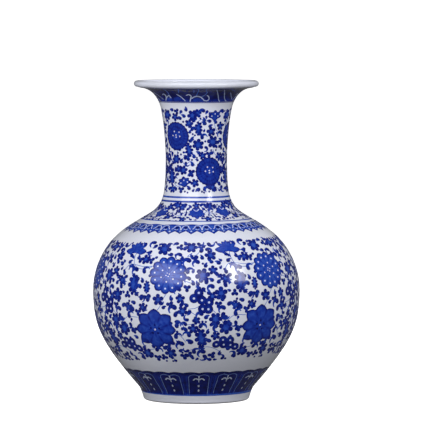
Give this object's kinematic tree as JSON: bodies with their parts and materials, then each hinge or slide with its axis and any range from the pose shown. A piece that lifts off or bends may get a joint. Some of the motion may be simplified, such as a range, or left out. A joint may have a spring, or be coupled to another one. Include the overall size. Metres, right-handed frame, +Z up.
{
  "type": "porcelain vase",
  "caption": "Blue-and-white porcelain bottle vase: round belly, tall neck, flared rolled lip and turned foot ring, luted together from thrown sections.",
  "frame": {"origin": "centre of the ground plane under the foot ring", "axes": "+Z up along the axis of turning; the painted panel that faces the viewer is on the -Y side"},
  "size_m": [0.233, 0.233, 0.3596],
  "materials": {
    "glazed_porcelain": "glossy transparent glaze over white body with underglaze cobalt painting",
    "bare_foot": "glazed outside, bare fine biscuit on the ground face",
    "dried_slip": "matt fired slip under thin glaze"
  },
  "bodies": {
    "root": {"foot_ring": "bare_foot", "belly_section": "glazed_porcelain", "shoulder_section": "glazed_porcelain", "neck_section": "glazed_porcelain", "mouth_section": "glazed_porcelain", "foot_lute": "dried_slip", "belly_lute": "dried_slip", "neck_lute": "dried_slip", "mouth_lute": "dried_slip"}
  },
  "joints": []
}
